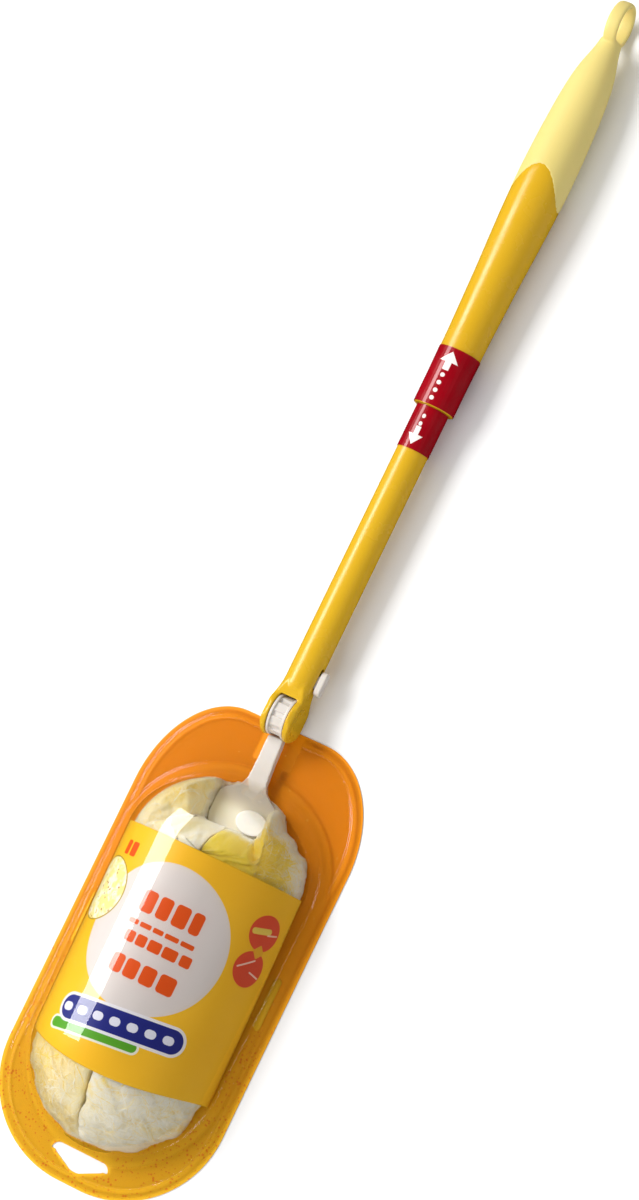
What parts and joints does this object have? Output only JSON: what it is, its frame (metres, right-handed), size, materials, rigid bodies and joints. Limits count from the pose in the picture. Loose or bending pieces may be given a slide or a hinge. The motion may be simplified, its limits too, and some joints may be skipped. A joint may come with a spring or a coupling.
{
  "type": "feather duster",
  "caption": "Extendable feather duster with a tilting, locking fork head inside a fibre refill, telescoping handle and hang loop, lying in a clear blister pack on a card.",
  "frame": {"origin": "centre of the backing card's back face, the face that lies on the table", "axes": "+X along the handle towards the hang loop, +Z out of the card's printed front, +Y to the left when looking along +X"},
  "size_m": [0.7752, 0.146, 0.056],
  "materials": {
    "printed_card": "coated print",
    "clear_plastic": "clear thermoformed sheet",
    "insert_print": "coated print",
    "white_plastic": "moulded",
    "nonwoven": "bonded sheet",
    "fluff_fibre": "loose fibres",
    "yellow_plastic": "satin",
    "amber_plastic": "satin",
    "steel": "drawn",
    "red_label": "gloss label",
    "grip_rubber": "matte soft grip"
  },
  "bodies": {
    "pack_card": {"backing_card": "printed_card"},
    "head": {"fork": "white_plastic", "fork_stud": "white_plastic", "ratchet_drum": "white_plastic", "refill_sleeve": "nonwoven", "fluff_arm_left": "fluff_fibre", "fluff_arm_right": "fluff_fibre", "fluff_mid_left": "fluff_fibre", "fluff_mid_right": "fluff_fibre", "fluff_tip_left": "fluff_fibre", "fluff_tip_right": "fluff_fibre"},
    "blister": {"blister_shell": "clear_plastic", "insert_card": "insert_print"},
    "tube": {"inner_tube": "yellow_plastic", "pivot_pin": "steel", "pivot_cap_left": "yellow_plastic", "pivot_cap_right": "yellow_plastic", "friction_bush": "white_plastic", "tube_end_plug": "white_plastic", "spring_seat": "white_plastic", "label_lower": "red_label", "pawl_spring": "steel"},
    "lock": {"lock_slider": "white_plastic", "lock_pawl": "white_plastic"},
    "handle": {"outer_tube": "yellow_plastic", "mouth_bush": "amber_plastic", "grip": "grip_rubber", "label_upper": "red_label"}
  },
  "joints": [
    {"name": "duster_lift", "type": "slide", "parent": "pack_card", "child": "head", "axis": [0, 0, 1], "range_m": [0, 0.15]},
    {"name": "blister_lift", "type": "slide", "parent": "head", "child": "blister", "axis": [0, 0, 1], "range_m": [0, 0.12]},
    {"name": "head_tilt", "type": "hinge", "parent": "head", "child": "tube", "pos_m": [0.1523, 0, 0.017], "axis": [0, -1, 0], "range_deg": [0, 90]},
    {"name": "telescope", "type": "slide", "parent": "tube", "child": "handle", "axis": [1, 0, 0], "range_m": [0, 0.17]},
    {"name": "lock_release", "type": "slide", "parent": "tube", "child": "lock", "axis": [1, 0, 0], "range_m": [0, 0.004], "stiffness_N_per_m": 600, "springref_m": -0.003, "deforming": ["pawl_spring"]}
  ]
}
